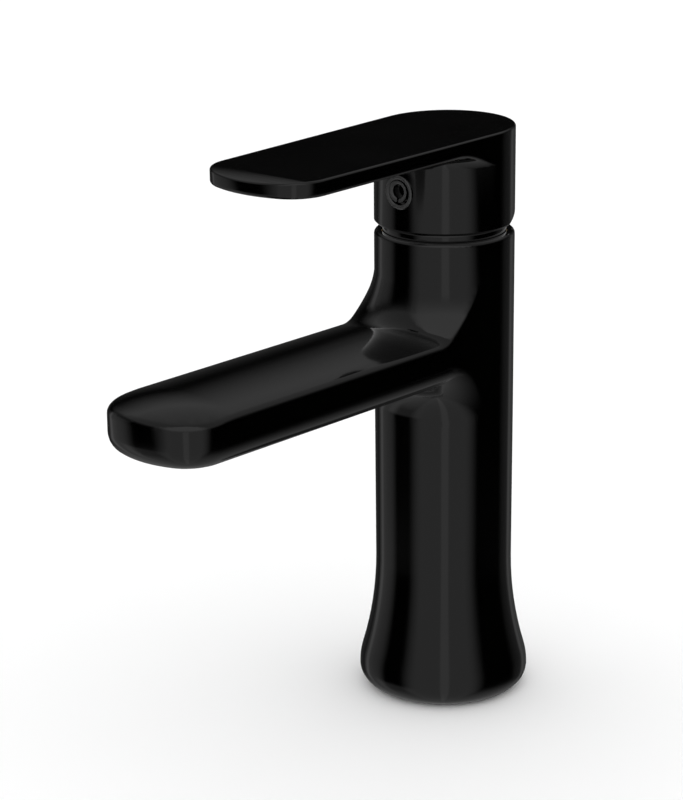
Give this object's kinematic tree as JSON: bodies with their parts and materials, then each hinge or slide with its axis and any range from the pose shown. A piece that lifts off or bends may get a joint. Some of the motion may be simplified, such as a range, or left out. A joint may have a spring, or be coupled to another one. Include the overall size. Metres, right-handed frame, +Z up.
{
  "type": "basin mixer faucet",
  "caption": "Single-lever basin mixer with a round body flaring into a rounded foot, a straight flat spout with an aerator, and a flat lever that lifts for flow and turns for temperature.",
  "frame": {"origin": "centre of the foot's underside, on the deck", "axes": "+Z up along the body's axis, -Y forward along the spout and the lever, X across"},
  "size_m": [0.0526, 0.1582, 0.1788],
  "materials": {
    "black_brass": "cast brass with a glossy black plated finish",
    "black_zinc": "die-cast zinc with a glossy black plated finish",
    "black_ring": "turned brass with a glossy black plated finish",
    "dark_abs": "glossy dark moulded plastic",
    "bare_brass": "turned brass",
    "steel": "bright steel",
    "black_rubber": "matt",
    "white_pom": "moulded white plastic",
    "grey_pom": "moulded grey plastic",
    "alumina": "lapped ceramic, stated as gloss plastic"
  },
  "bodies": {
    "body": {"body_casting": "black_brass", "base_seal": "black_rubber", "cartridge_nut": "bare_brass", "cover_ring": "black_ring", "cartridge_housing": "white_pom", "cartridge_base": "white_pom", "port_seals": "black_rubber", "disc_seals": "black_rubber", "fixed_disc": "alumina", "aerator_housing": "black_ring", "aerator_washer": "black_rubber", "aerator_core": "white_pom", "inlet_sieve": "white_pom", "outlet_grid": "grey_pom"},
    "rotor": {"rotor": "white_pom", "rotor_seal": "black_rubber", "pivot_pin": "steel"},
    "lever": {"lever_handle": "black_zinc", "lever_stem": "bare_brass", "set_screw": "steel", "indicator_plug": "dark_abs"},
    "disc": {"disc_carrier": "white_pom", "moving_disc": "alumina"}
  },
  "joints": [
    {"name": "temperature", "type": "hinge", "parent": "body", "child": "rotor", "pos_m": [0, 0, 0.142], "axis": [0, 0, 1], "range_deg": [-45, 45]},
    {"name": "flow", "type": "hinge", "parent": "rotor", "child": "lever", "pos_m": [0, 0, 0.142], "axis": [-1, 0, 0], "range_deg": [0, 22]},
    {"name": "disc_slide", "type": "slide", "parent": "rotor", "child": "disc", "axis": [0, -1, 0], "range_m": [0, 0.00344]}
  ],
  "couplings": [
    {"joint": "disc_slide", "follows": "flow", "m_per_rad": 0.0089448}
  ]
}
